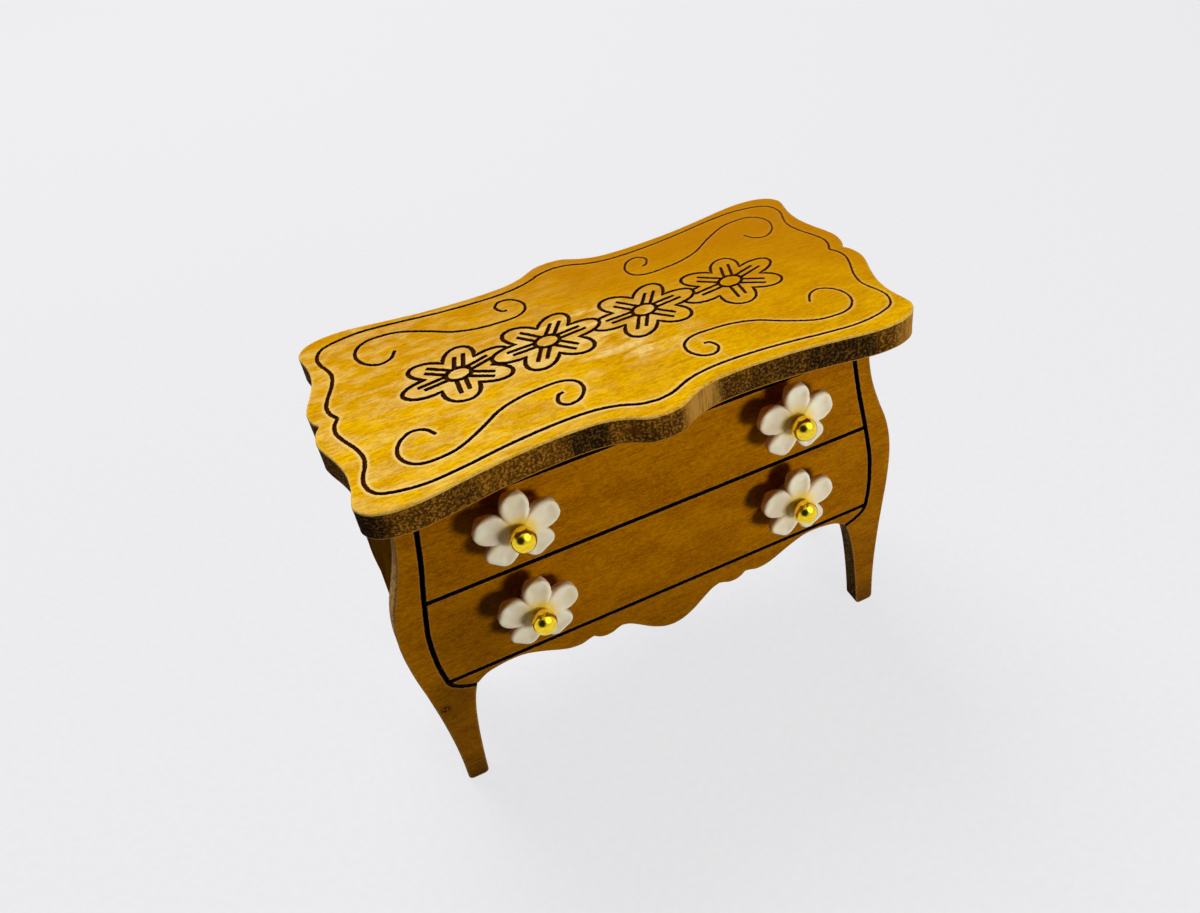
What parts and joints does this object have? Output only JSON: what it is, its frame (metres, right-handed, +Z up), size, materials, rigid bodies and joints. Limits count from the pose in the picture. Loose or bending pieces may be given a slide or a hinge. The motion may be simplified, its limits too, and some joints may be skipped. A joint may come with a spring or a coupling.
{
  "type": "miniature chest of drawers",
  "caption": "Dolls house commode with bowed legs, a shaped and engraved top, two sliding drawers and flower bead knobs.",
  "frame": {"origin": "on the floor, under the middle of the overall box: the middle of the body from side to side, within 0.4 mm, and of the top board from front to back", "axes": "+X to the right seen from the front, +Y to the back, +Z up; the drawers open towards -Y"},
  "size_m": [0.0803, 0.0424, 0.0645],
  "materials": {
    "top_wood": "golden stained wood, dark engraved lines and burnt edges, satin",
    "body_wood": "darker honey stained wood with burnt edges, satin",
    "raw_wood": "unstained thin wood, matt",
    "bead": "ivory, slightly see-through, satin",
    "gilt": "polished gold plate"
  },
  "bodies": {
    "case": {"top_board": "top_wood", "front_frame": "body_wood", "back_board": "body_wood", "left_side_panel": "body_wood", "right_side_panel": "body_wood", "divider_board": "raw_wood", "bottom_board": "raw_wood"},
    "upper_drawer": {"upper_drawer_front": "body_wood", "upper_drawer_left_side": "raw_wood", "upper_drawer_right_side": "raw_wood", "upper_drawer_back": "raw_wood", "upper_drawer_bottom": "raw_wood", "upper_left_flower": "bead", "upper_right_flower": "bead", "upper_left_pin": "gilt", "upper_right_pin": "gilt"},
    "lower_drawer": {"lower_drawer_front": "body_wood", "lower_drawer_left_side": "raw_wood", "lower_drawer_right_side": "raw_wood", "lower_drawer_back": "raw_wood", "lower_drawer_bottom": "raw_wood", "lower_left_flower": "bead", "lower_right_flower": "bead", "lower_left_pin": "gilt", "lower_right_pin": "gilt"}
  },
  "joints": [
    {"name": "upper_drawer_slide", "type": "slide", "parent": "case", "child": "upper_drawer", "axis": [0, -1, 0], "range_m": [0, 0.014]},
    {"name": "lower_drawer_slide", "type": "slide", "parent": "case", "child": "lower_drawer", "axis": [0, -1, 0], "range_m": [0, 0.014]}
  ]
}
